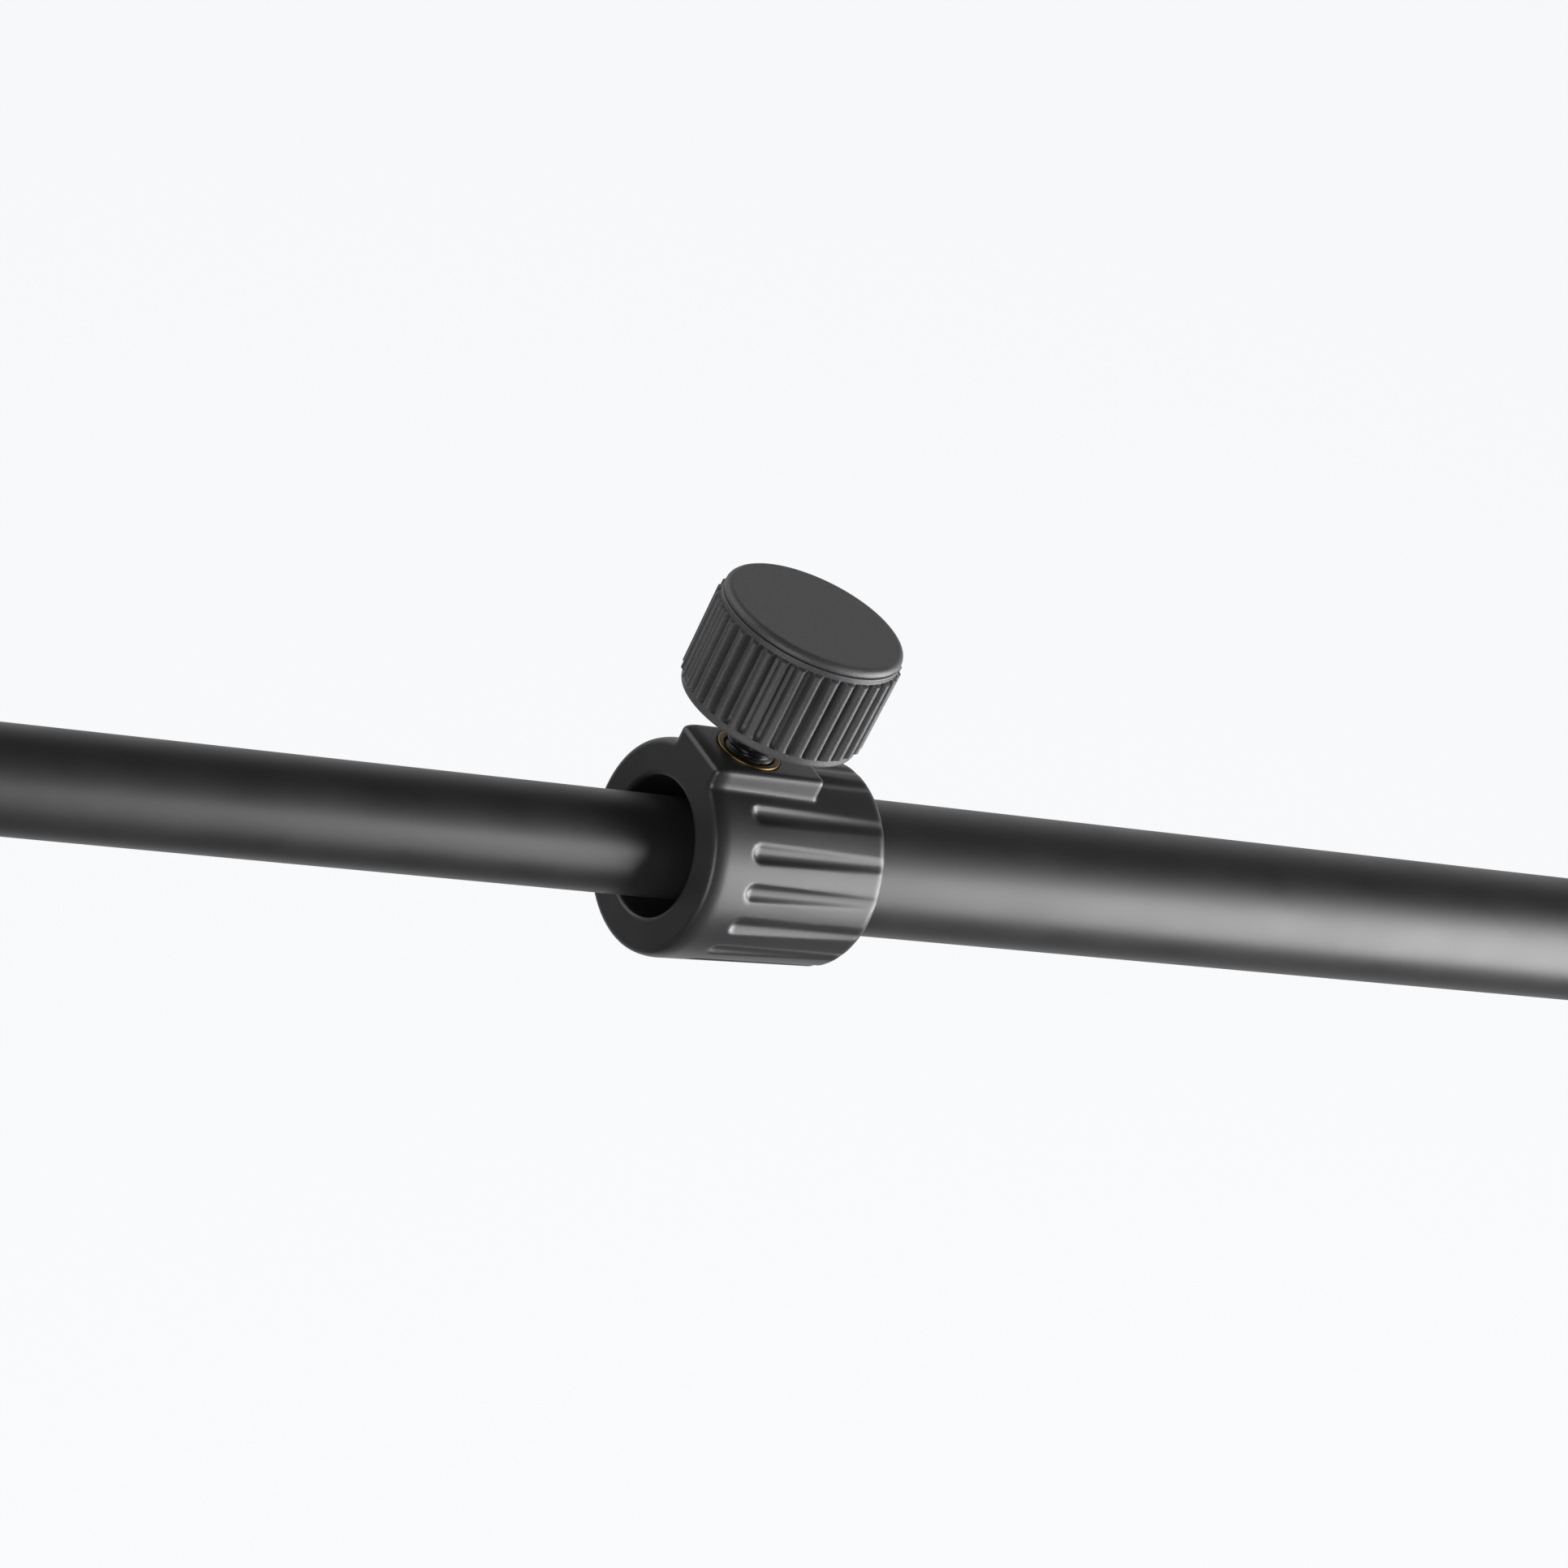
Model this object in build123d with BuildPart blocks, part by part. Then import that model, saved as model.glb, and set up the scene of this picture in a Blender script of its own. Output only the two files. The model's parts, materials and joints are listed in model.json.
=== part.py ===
"""C-stand with a turtle base, a two-riser column, a grip head and a telescopic boom arm.

Millimetres, +Z up. The origin is the point on the floor under the column's axis. The arm lies in the
XZ plane: its thin end points to -X and rises, and the fixed leg lies under it.
"""
import os
from math import cos, radians, sin

from build123d import *

# ---- driving dimensions -------------------------------------------------------------------------
# Tubes: outer radius of each, one wall for all of them
WALL = 1.5
COLUMN_R = 17.5
RISER_1_R = 14.0
RISER_2_R = 11.0
ARM_R = 11.0
BOOM_R = 8.0

# Base: three bent legs on rings stacked round the column
LEG_R = 12.5
LEG_REACH = 450.0
LEG_ANGLES = (180.0, 300.0, 60.0)
LEG_ELBOW_X = 95.0
LEG_KNEE_Z = 78.0
LEG_ELBOW_BEND = 70.0
LEG_KNEE_BEND = 34.0
RING_R = 24.0
RING_HEIGHT = 36.0
RING_PITCH = 38.0
RING_1_Z = 120.0
SOCKET_R = 16.0
SOCKET_FROM = 26.0
SOCKET_TO = 52.0
FOOT_FLOOR = 8.0
FOOT_HEIGHT = 34.0
FOOT_R = 17.0

# Column: where each collar's open face is, and how much tube is inside the one below
COLUMN_BOTTOM = 90.0
COLUMN_TOP = 615.0
RISER_1_SHOWS = 250.0
RISER_2_SHOWS = 230.0
RISER_INSIDE = 235.0

# Tube clamp: grooved collar, boss, threaded insert, guide bush
COLLAR_WALL = 6.1
COLLAR_LENGTH = 33.8
COLLAR_DRAFT = 0.7
BOSS_RISE = 8.1
BOSS_WIDTH = 13.0
BOSS_LENGTH = 20.6
SCREW_AT = 9.0
TUBE_STOP = 14.5
GROOVE_R = 1.5
GROOVE_DEPTH = 0.8
GROOVE_START = 6.8
GROOVE_STEP = 22.5
GROOVE_FIRST = 30.0
GROOVES_A_SIDE = 7
INSERT_R = 5.2
INSERT_DEPTH = 7.9
INSERT_PROUD = 0.4
BUSH_FLANGE = 1.5
BUSH_LENGTH = 30.0

# Clamp screw: M8 stud, fluted knob, cap, pressure pad
STUD_R = 4.0
KNOB_GAP = 7.2
KNOB_HEIGHT = 16.6
KNOB_FOOT_R = 15.1
KNOB_TOP_R = 14.8
KNOB_FLUTES = 34
FLUTE_R = 0.62
CAP_HEIGHT = 1.4
PAD_R = 3.5
PAD_THICK = 1.5

# Grip head
SPIGOT_R = 8.0
SPIGOT_LENGTH = 42.0
HEAD_R = 15.0
PIVOT_ABOVE_SHOULDER = 65.0
EAR_R = 14.0
TONGUE_THICK = 12.0
CHEEK_THICK = 6.0
PIVOT_TO_ARM = 40.0
YOKE_LENGTH = 46.0
LINER_WALL = 1.95

# Arm
ARM_RISE = 27.4
COLLAR_FROM_PIVOT = 330.0
ARM_LENGTH = 560.0
BOOM_SHOWS = 300.0
BOOM_INSIDE = 260.0
TIP_STUD_R = 4.76
TIP_STUD_LENGTH = 16.0

# Clearances
RUN = 0.06
GAP = 0.3
TOUCH = 0.1


# ---- frames ---------------------------------------------------------------------------------------
# A tube frame has its X along the tube, towards the tube that slides out, its Z towards the clamp
# screw, and its origin on the axis in the collar's open face.
def tube_frame(origin, along, screw):
    return Plane(origin=origin, x_dir=along, z_dir=screw)


def side_of(frame):
    """Plane through a tube's axis: X along the tube, Y towards the screw."""
    return Plane(origin=frame.origin, x_dir=frame.x_dir, z_dir=-frame.y_dir)


def across(frame, along):
    """Plane square to a tube's axis, at a distance along it: X towards the screw."""
    return Plane(origin=frame.from_local_coords((along, 0, 0)), x_dir=frame.z_dir, z_dir=frame.x_dir)


def seat_of(frame, along, rise):
    """Plane square to the screw, at its boss's top: Z out along the screw."""
    return Plane(origin=frame.from_local_coords((along, 0, rise)), x_dir=frame.x_dir, z_dir=frame.z_dir)


def radial(angle):
    """Upright plane through the column's axis: X outwards at this angle, Y up."""
    out = Vector(cos(radians(angle)), sin(radians(angle)), 0)
    return Plane(origin=(0, 0, 0), x_dir=out, z_dir=out.cross(Vector(0, 0, 1)))


def tube_axis(frame):
    return Axis(frame.origin, frame.x_dir)


up = Vector(0, 0, 1)
front = Vector(0, -1, 0)
arm_along = Vector(-cos(radians(ARM_RISE)), 0, sin(radians(ARM_RISE)))
arm_up = Vector(sin(radians(ARM_RISE)), 0, cos(radians(ARM_RISE)))

riser_1_top = COLUMN_TOP + RISER_1_SHOWS
shoulder_z = riser_1_top + RISER_2_SHOWS
pivot = Vector(0, 0, shoulder_z + PIVOT_ABOVE_SHOULDER)
column_frame = tube_frame((0, 0, COLUMN_TOP), up, front)
riser_frame = tube_frame((0, 0, riser_1_top), up, front)
arm_frame = tube_frame(pivot + arm_up * PIVOT_TO_ARM + arm_along * COLLAR_FROM_PIVOT, arm_along, arm_up)
yoke_frame = tube_frame(pivot + arm_up * PIVOT_TO_ARM + arm_along * YOKE_LENGTH / 2, arm_along, arm_up)


def finish(piece, name):
    """Label a finished piece and write it."""
    piece.part.label = name
    export_step(piece.part, f"parts/{name}.step")


# ---- tubes and turned pieces ------------------------------------------------------------------------
def turned(name, plane, outline, centre):
    """Solid of revolution: a closed outline of (along, radius) points turned about centre."""
    with BuildPart() as piece:
        with BuildSketch(plane):
            with BuildLine():
                Polyline(*outline, close=True)
            make_face()
        revolve(axis=centre)
    finish(piece, name)


def tube(name, frame, start, end, outer):
    """Straight tube between two stations of a frame."""
    with BuildPart() as piece:
        with BuildSketch(across(frame, start)):
            Circle(outer)
            Circle(outer - WALL, mode=Mode.SUBTRACT)
        extrude(amount=end - start)
        chamfer(piece.edges().filter_by(GeomType.CIRCLE), length=0.4)
    finish(piece, name)


def bush(name, frame, outer, inner):
    """Flanged guide bush in the mouth of the outer tube, with a running fit on the inner one."""
    back = -TUBE_STOP
    outline = [
        (back + BUSH_FLANGE, inner + RUN),
        (back + BUSH_FLANGE, outer - GAP),
        (back, outer - GAP),
        (back, outer - WALL),
        (back - BUSH_LENGTH, outer - WALL),
        (back - BUSH_LENGTH, inner + RUN),
    ]
    turned(name, side_of(frame), outline, tube_axis(frame))


def slider(name, frame, end, outer, inner):
    """Plug in the tail of a sliding tube: its head guides the tail and stops it at the bush."""
    head, stem = 14.0, 16.0
    head_r = outer - WALL - RUN
    outline = [
        (end - head, 0),
        (end - head, head_r - 1),
        (end - head + 1, head_r),
        (end, head_r),
        (end, inner - WALL),
        (end + stem, inner - WALL),
        (end + stem, 0),
    ]
    turned(name, side_of(frame), outline, tube_axis(frame))


# ---- tube clamp -------------------------------------------------------------------------------------
def collar_shape(frame, bore, length):
    """Grooved, slightly tapered collar with a flat-topped boss, bored for its tube and its screw."""
    outer = bore + COLLAR_WALL
    tail = outer - COLLAR_DRAFT
    boss_top = bore + BOSS_RISE
    groove_start = -GROOVE_START - GROOVE_R
    groove_seat = outer - GROOVE_DEPTH + GROOVE_R
    with BuildPart() as piece:
        with BuildSketch(side_of(frame)):
            with BuildLine():
                Polyline((-length, bore - 1), (0, bore - 1), (0, outer - 1.1))
                Spline((0, outer - 1.1), (-0.45, outer - 0.35), (-2.0, outer), tangents=[(0, 1), (-1, 0)])
                Line((-2.0, outer), (-length + 1.5, tail))
                RadiusArc((-length + 1.5, tail), (-length, tail - 1.5), -1.5)
                Line((-length, tail - 1.5), (-length, bore - 1))
            make_face()
        revolve(axis=tube_axis(frame))
        with BuildSketch(across(frame, -BOSS_LENGTH)):
            with Locations((boss_top / 2, 0)):
                Rectangle(boss_top, BOSS_WIDTH)
        extrude(amount=BOSS_LENGTH)
        rising = Axis(frame.origin, frame.z_dir)
        top = piece.faces().filter_by(GeomType.PLANE).filter_by(rising).sort_by(rising)[-1]
        fillet(top.outer_wire().edges(), radius=0.8)
        for side in (1, -1):
            for step in range(GROOVES_A_SIDE):
                turn = radians(side * (GROOVE_FIRST + step * GROOVE_STEP))
                spot = across(frame, groove_start).from_local_coords(
                    (groove_seat * cos(turn), groove_seat * sin(turn), 0))
                with BuildSketch(Plane(origin=spot, x_dir=frame.z_dir, z_dir=-frame.x_dir)):
                    Circle(GROOVE_R)
                extrude(amount=length + groove_start + 1, mode=Mode.SUBTRACT)
                with Locations(Location(spot)):
                    Sphere(GROOVE_R, mode=Mode.SUBTRACT)
        with BuildSketch(across(frame, -length - 1)):
            Circle(bore)
        extrude(amount=length + 2, mode=Mode.SUBTRACT)
        with BuildSketch(seat_of(frame, -SCREW_AT, boss_top + 1)):
            Circle(INSERT_R)
        extrude(amount=-(boss_top + 1), mode=Mode.SUBTRACT)
    return piece.part


def collar(name, frame, bore):
    with BuildPart() as piece:
        add(collar_shape(frame, bore, COLLAR_LENGTH))
    finish(piece, name)


def screw_side(seat):
    """Plane through a screw's axis: X across, Y out along the screw."""
    return Plane(origin=seat.origin, x_dir=seat.x_dir, z_dir=-seat.y_dir)


def screw_axis(seat):
    return Axis(seat.origin, seat.z_dir)


def insert(name, seat):
    """Brass threaded insert, a little proud of the boss."""
    outline = [
        (STUD_R + RUN, -INSERT_DEPTH),
        (INSERT_R, -INSERT_DEPTH),
        (INSERT_R, INSERT_PROUD - 0.2),
        (INSERT_R - 0.2, INSERT_PROUD),
        (STUD_R + RUN + 0.3, INSERT_PROUD),
        (STUD_R + RUN, INSERT_PROUD - 0.3),
    ]
    turned(name, screw_side(seat), outline, screw_axis(seat))


def stud(name, seat, tip, knob_gap):
    """Screwed rod from the knob's core down to its tip."""
    top = knob_gap + 12.0
    outline = [(0, -tip), (STUD_R - 0.6, -tip), (STUD_R, 0.6 - tip), (STUD_R, top), (0, top)]
    turned(name, screw_side(seat), outline, screw_axis(seat))


def pad(name, seat, reach):
    """Pressure pad on the stud's tip: it moves with the screw but doesn't turn."""
    outline = [(0, -reach), (PAD_R, -reach), (PAD_R, PAD_THICK - reach), (0, PAD_THICK - reach)]
    turned(name, screw_side(seat), outline, screw_axis(seat))


def knob(name, seat, knob_gap):
    """Fluted knob with a slight taper, a recess underneath and the stud's hole in its core."""
    foot, top = knob_gap, knob_gap + KNOB_HEIGHT
    with BuildPart() as piece:
        with BuildSketch(screw_side(seat)):
            with BuildLine():
                Polyline(
                    (STUD_R, foot),
                    (6.5, foot),
                    (7.0, foot + 3.0),
                    (11.5, foot + 3.0),
                    (12.0, foot),
                    (KNOB_FOOT_R - 0.6, foot),
                    (KNOB_FOOT_R, foot + 0.8),
                    (KNOB_TOP_R, top),
                    (0, top),
                    (0, foot + 12.0),
                    (STUD_R, foot + 12.0),
                    close=True,
                )
            make_face()
        revolve(axis=screw_axis(seat))
        with BuildSketch(seat.offset(foot + 1.7)):
            with PolarLocations(KNOB_FOOT_R, KNOB_FLUTES):
                Circle(FLUTE_R)
        extrude(amount=KNOB_HEIGHT - 3.0, mode=Mode.SUBTRACT)
    finish(piece, name)


def knob_cap(name, seat, knob_gap):
    """Smooth cap on the knob: a round rim and a shallow dish."""
    low = knob_gap + KNOB_HEIGHT
    outline = [
        (0, low),
        (KNOB_TOP_R, low),
        (KNOB_TOP_R, low + 0.5),
        (KNOB_TOP_R - 0.4, low + 1.1),
        (KNOB_TOP_R - 1.2, low + CAP_HEIGHT),
        (KNOB_TOP_R - 2.6, low + CAP_HEIGHT - 0.2),
        (0, low + CAP_HEIGHT - 0.5),
    ]
    turned(name, screw_side(seat), outline, screw_axis(seat))


def clamp_screw(prefix, seat, tip):
    """Insert, stud, knob and cap of one clamp. tip runs from the boss down to the stud's end."""
    insert(f"{prefix}_insert", seat)
    stud(f"{prefix}_stud", seat, tip, KNOB_GAP)
    knob(f"{prefix}_knob", seat, KNOB_GAP)
    knob_cap(f"{prefix}_knob_cap", seat, KNOB_GAP)


def padded_screw(prefix, seat, reach):
    """Clamp screw with a pressure pad on its tip. reach runs from the boss down to the pad's face."""
    pad(f"{prefix}_pad", seat, reach)
    clamp_screw(prefix, seat, reach - PAD_THICK - RUN)


def tube_clamp(prefix, frame, outer, inner):
    """The whole clamp where one tube slides out of another."""
    collar(f"{prefix}_collar", frame, outer)
    bush(f"{prefix}_bush", frame, outer, inner)
    seat = seat_of(frame, -SCREW_AT, outer + BOSS_RISE)
    padded_screw(prefix, seat, outer + BOSS_RISE - inner - TOUCH)


# ---- base -------------------------------------------------------------------------------------------
def leg_ring(number, height, angle):
    """Ring round the column with a socket for its leg."""
    plane = radial(angle)
    out = plane.x_dir
    with BuildPart() as piece:
        with BuildSketch(Plane.XY.offset(height - RING_HEIGHT / 2)):
            Circle(RING_R)
        extrude(amount=RING_HEIGHT)
        chamfer(piece.edges().filter_by(GeomType.CIRCLE), length=1.0)
        with BuildSketch(Plane(origin=(0, 0, height), x_dir=up, z_dir=out)):
            Circle(SOCKET_R)
        extrude(amount=SOCKET_TO)
        rim = piece.edges().filter_by(GeomType.CIRCLE).sort_by(Axis((0, 0, 0), out))[-1]
        chamfer(rim, length=1.0)
        with BuildSketch(Plane.XY.offset(height - RING_HEIGHT / 2 - 1)):
            Circle(COLUMN_R + (0 if number == 1 else RUN))
        extrude(amount=RING_HEIGHT + 2, mode=Mode.SUBTRACT)
        with BuildSketch(Plane(origin=Vector(0, 0, height) + out * SOCKET_FROM, x_dir=up, z_dir=out)):
            Circle(LEG_R)
        extrude(amount=SOCKET_TO, mode=Mode.SUBTRACT)
    finish(piece, f"leg_ring_{number}")


def leg_tube(number, height, angle):
    """Bent leg: level out of its socket, sloping to the knee, then straight down into its foot."""
    with BuildPart() as piece:
        with BuildLine(radial(angle)) as path:
            FilletPolyline(
                (SOCKET_FROM, height),
                (LEG_ELBOW_X, height),
                (LEG_REACH, LEG_KNEE_Z),
                (LEG_REACH, FOOT_FLOOR),
                radius=[LEG_ELBOW_BEND, LEG_KNEE_BEND],
            )
        with BuildSketch(Plane(origin=path.line @ 0, z_dir=path.line % 0)):
            Circle(LEG_R)
            Circle(LEG_R - WALL, mode=Mode.SUBTRACT)
        sweep()
    finish(piece, f"leg_tube_{number}")


def leg_foot(number, angle):
    """Rubber cup over the leg's end."""
    plane = radial(angle)
    outline = [
        (LEG_REACH, 0),
        (LEG_REACH + FOOT_R - 1, 0),
        (LEG_REACH + FOOT_R, 1),
        (LEG_REACH + FOOT_R, 7),
        (LEG_REACH + LEG_R + 2.5, FOOT_HEIGHT - 1),
        (LEG_REACH + LEG_R + 1.5, FOOT_HEIGHT),
        (LEG_REACH + LEG_R, FOOT_HEIGHT),
        (LEG_REACH + LEG_R, FOOT_FLOOR),
        (LEG_REACH, FOOT_FLOOR),
    ]
    turned(f"leg_foot_{number}", plane, outline, Axis(plane.x_dir * LEG_REACH, (0, 0, 1)))


def ring_stop():
    """Steel collar that keeps the leg rings down."""
    low = RING_1_Z + 2 * RING_PITCH + RING_HEIGHT / 2 + GAP
    with BuildPart() as piece:
        with BuildSketch(Plane.XY.offset(low)):
            Circle(RING_R)
            Circle(COLUMN_R, mode=Mode.SUBTRACT)
        extrude(amount=16)
        chamfer(piece.edges().filter_by(GeomType.CIRCLE).group_by(Axis.Z)[-1], length=1.5)
        chamfer(piece.edges().filter_by(GeomType.CIRCLE).group_by(Axis.Z)[0].sort_by(SortBy.RADIUS)[-1], length=1.0)
    finish(piece, "ring_stop")


def base():
    for index, angle in enumerate(LEG_ANGLES):
        height = RING_1_Z + index * RING_PITCH
        leg_ring(index + 1, height, angle)
        leg_tube(index + 1, height, angle)
        leg_foot(index + 1, angle)
    ring_stop()
    bottom = COLUMN_BOTTOM - COLUMN_TOP
    outline = [
        (bottom - 8, 0),
        (bottom - 8, COLUMN_R + 2),
        (bottom - 6, COLUMN_R + 4),
        (bottom, COLUMN_R + 4),
        (bottom, COLUMN_R - WALL),
        (bottom + 20, COLUMN_R - WALL),
        (bottom + 20, 0),
    ]
    turned("column_foot_cap", side_of(column_frame), outline, tube_axis(column_frame))


# ---- column -----------------------------------------------------------------------------------------
def column():
    tube("column_tube", column_frame, COLUMN_BOTTOM - COLUMN_TOP, -TUBE_STOP, COLUMN_R)
    tube_clamp("column", column_frame, COLUMN_R, RISER_1_R)
    tube("riser_1_tube", column_frame, -RISER_INSIDE, RISER_1_SHOWS - TUBE_STOP, RISER_1_R)
    slider("riser_1_slider", column_frame, -RISER_INSIDE, COLUMN_R, RISER_1_R)
    tube_clamp("riser", riser_frame, RISER_1_R, RISER_2_R)
    tube("riser_2_tube", riser_frame, -RISER_INSIDE, RISER_2_SHOWS - 4, RISER_2_R)
    slider("riser_2_slider", riser_frame, -RISER_INSIDE, RISER_1_R, RISER_2_R)


def spigot():
    """Standard 16 mm pin on the last riser, with a waist for the head's screw."""
    top = RISER_2_SHOWS
    outline = [
        (top - 30, 0),
        (top - 30, RISER_2_R - WALL),
        (top - 4, RISER_2_R - WALL),
        (top - 4, RISER_2_R),
        (top, RISER_2_R),
        (top, SPIGOT_R),
        (top + SPIGOT_LENGTH / 2 - 9, SPIGOT_R),
        (top + SPIGOT_LENGTH / 2 - 7, SPIGOT_R - 1),
        (top + SPIGOT_LENGTH / 2 + 7, SPIGOT_R - 1),
        (top + SPIGOT_LENGTH / 2 + 9, SPIGOT_R),
        (top + SPIGOT_LENGTH - 1, SPIGOT_R),
        (top + SPIGOT_LENGTH, SPIGOT_R - 1),
        (top + SPIGOT_LENGTH, 0),
    ]
    turned("spigot", side_of(riser_frame), outline, tube_axis(riser_frame))


# ---- grip head --------------------------------------------------------------------------------------
def head_base():
    """Socket on the spigot, a boss for the pan screw, and an upright tongue for the tilt pivot."""
    low = shoulder_z + GAP
    socket_top = pivot.Z - EAR_R - 3
    screw_z = shoulder_z + SPIGOT_LENGTH / 2
    with BuildPart() as piece:
        with BuildSketch(Plane.XY.offset(low)):
            Circle(HEAD_R)
        extrude(amount=socket_top - low)
        chamfer(piece.edges().filter_by(GeomType.CIRCLE), length=1.0)
        with BuildSketch(Plane(origin=(0, 0, screw_z), x_dir=(1, 0, 0), z_dir=(0, 1, 0))):
            RectangleRounded(18, 20, 2)
        extrude(amount=HEAD_R + 3)
        with BuildSketch(Plane(origin=(0, -TONGUE_THICK / 2, 0), x_dir=(1, 0, 0), z_dir=(0, -1, 0))):
            with Locations((0, pivot.Z)):
                Circle(EAR_R)
            with Locations((0, (pivot.Z + socket_top - 2) / 2)):
                Rectangle(2 * EAR_R, pivot.Z - socket_top + 2)
        extrude(amount=-TONGUE_THICK)
        with BuildSketch(Plane.XY.offset(low - 1)):
            Circle(SPIGOT_R + RUN)
        extrude(amount=SPIGOT_LENGTH + 2, mode=Mode.SUBTRACT)
        with BuildSketch(Plane(origin=(0, 0, screw_z), x_dir=(1, 0, 0), z_dir=(0, 1, 0))):
            Circle(INSERT_R)
        extrude(amount=HEAD_R + 5, mode=Mode.SUBTRACT)
        with BuildSketch(Plane(origin=(0, -TONGUE_THICK, pivot.Z), x_dir=(1, 0, 0), z_dir=(0, 1, 0))):
            Circle(STUD_R + RUN)
        extrude(amount=2 * TONGUE_THICK, mode=Mode.SUBTRACT)
    finish(piece, "head_base")
    seat = Plane(origin=(0, HEAD_R + 3, screw_z), x_dir=(0, 0, 1), z_dir=(0, 1, 0))
    clamp_screw("pan", seat, HEAD_R + 3 - SPIGOT_R + 1 - TOUCH)


def yoke():
    """Collar that grips the arm, on two cheeks that straddle the head's tongue."""
    bore = ARM_R + RUN + LINER_WALL + RUN
    middle = -YOKE_LENGTH / 2
    web = bore + COLLAR_WALL / 2
    inner_face = TONGUE_THICK / 2 + GAP
    with BuildPart() as piece:
        add(collar_shape(yoke_frame, bore, YOKE_LENGTH))
        for side in (1, -1):
            level = -side * inner_face
            with BuildSketch(side_of(yoke_frame).offset(level)):
                with BuildLine():
                    left = (middle - EAR_R, -PIVOT_TO_ARM)
                    right = (middle + EAR_R, -PIVOT_TO_ARM)
                    RadiusArc(left, right, -EAR_R)
                    Polyline(right, (middle + 17, -web), (middle - 17, -web), left)
                make_face()
            extrude(amount=-side * CHEEK_THICK)
        with BuildSketch(side_of(yoke_frame)):
            with Locations((middle, -PIVOT_TO_ARM)):
                Circle(STUD_R + RUN)
        extrude(amount=3 * TONGUE_THICK, both=True, mode=Mode.SUBTRACT)
        with BuildSketch(across(yoke_frame, -YOKE_LENGTH)):
            Circle(bore)
        extrude(amount=YOKE_LENGTH, mode=Mode.SUBTRACT)
    finish(piece, "arm_yoke")
    seat = seat_of(yoke_frame, -SCREW_AT, bore + BOSS_RISE)
    padded_screw("yoke", seat, BOSS_RISE + RUN - TOUCH)
    inside, outside = ARM_R + RUN, bore - RUN
    outline = [
        (1.5, inside),
        (1.5, outside + 2),
        (GAP, outside + 2),
        (GAP, outside),
        (-YOKE_LENGTH, outside),
        (-YOKE_LENGTH, inside),
    ]
    turned("arm_liner", side_of(yoke_frame), outline, tube_axis(yoke_frame))


def tilt_lock():
    """Long stud through both cheeks with the tilt knob, a washer under the knob and a nut behind."""
    reach = TONGUE_THICK / 2 + GAP + CHEEK_THICK
    seat = Plane(origin=pivot + front * reach, x_dir=arm_along, z_dir=front)
    washer = [(STUD_R + RUN, TOUCH), (8, TOUCH), (8, 2.0), (STUD_R + RUN, 2.0)]
    turned("tilt_washer", screw_side(seat), washer, screw_axis(seat))
    stud("tilt_stud", seat, 2 * reach + 8, 2.3)
    knob("tilt_knob", seat, 2.3)
    knob_cap("tilt_knob_cap", seat, 2.3)
    with BuildPart() as nut:
        with BuildSketch(seat.offset(-2 * reach)):
            RegularPolygon(radius=6.5, side_count=6, major_radius=False)
            Circle(STUD_R + RUN, mode=Mode.SUBTRACT)
        extrude(amount=-6.5)
    finish(nut, "tilt_nut")


# ---- arm --------------------------------------------------------------------------------------------
def arm():
    tail = -TUBE_STOP - ARM_LENGTH
    tube("arm_outer_tube", arm_frame, tail, -TUBE_STOP, ARM_R)
    tube_clamp("arm", arm_frame, ARM_R, BOOM_R)
    rear_cap = [
        (tail - 3, 0),
        (tail - 3, ARM_R - 1),
        (tail - 2, ARM_R),
        (tail, ARM_R),
        (tail, ARM_R - WALL),
        (tail + 14, ARM_R - WALL),
        (tail + 14, 0),
    ]
    turned("arm_rear_cap", side_of(arm_frame), rear_cap, tube_axis(arm_frame))
    tube("boom_tube", arm_frame, -BOOM_INSIDE, BOOM_SHOWS, BOOM_R)
    slider("boom_slider", arm_frame, -BOOM_INSIDE, ARM_R, BOOM_R)
    tip = [
        (BOOM_SHOWS - 18, 0),
        (BOOM_SHOWS - 18, BOOM_R - WALL),
        (BOOM_SHOWS, BOOM_R - WALL),
        (BOOM_SHOWS, BOOM_R + 1),
        (BOOM_SHOWS + 7, BOOM_R + 1),
        (BOOM_SHOWS + 8, BOOM_R),
        (BOOM_SHOWS + 8, TIP_STUD_R),
        (BOOM_SHOWS + 8 + TIP_STUD_LENGTH, TIP_STUD_R),
        (BOOM_SHOWS + 9 + TIP_STUD_LENGTH, TIP_STUD_R - 1),
        (BOOM_SHOWS + 9 + TIP_STUD_LENGTH, 0),
    ]
    turned("boom_tip", side_of(arm_frame), tip, tube_axis(arm_frame))


os.makedirs("parts", exist_ok=True)
base()
column()
spigot()
head_base()
yoke()
tilt_lock()
arm()
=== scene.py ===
"""Looks of the C-stand: moulded clamps, fluted knobs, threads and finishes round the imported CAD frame.

Blender units are metres. Shapes of moulded and turned pieces are worked out in millimetres in their
own clamp's frame: s along the tube (towards the tube that slides out), k along the clamp's screw,
w across, with w = k x s turned to make s, w, k right-handed.
"""

import json
from math import pi

import bpy
import numpy as np
from mathutils import Matrix, Vector


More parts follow.
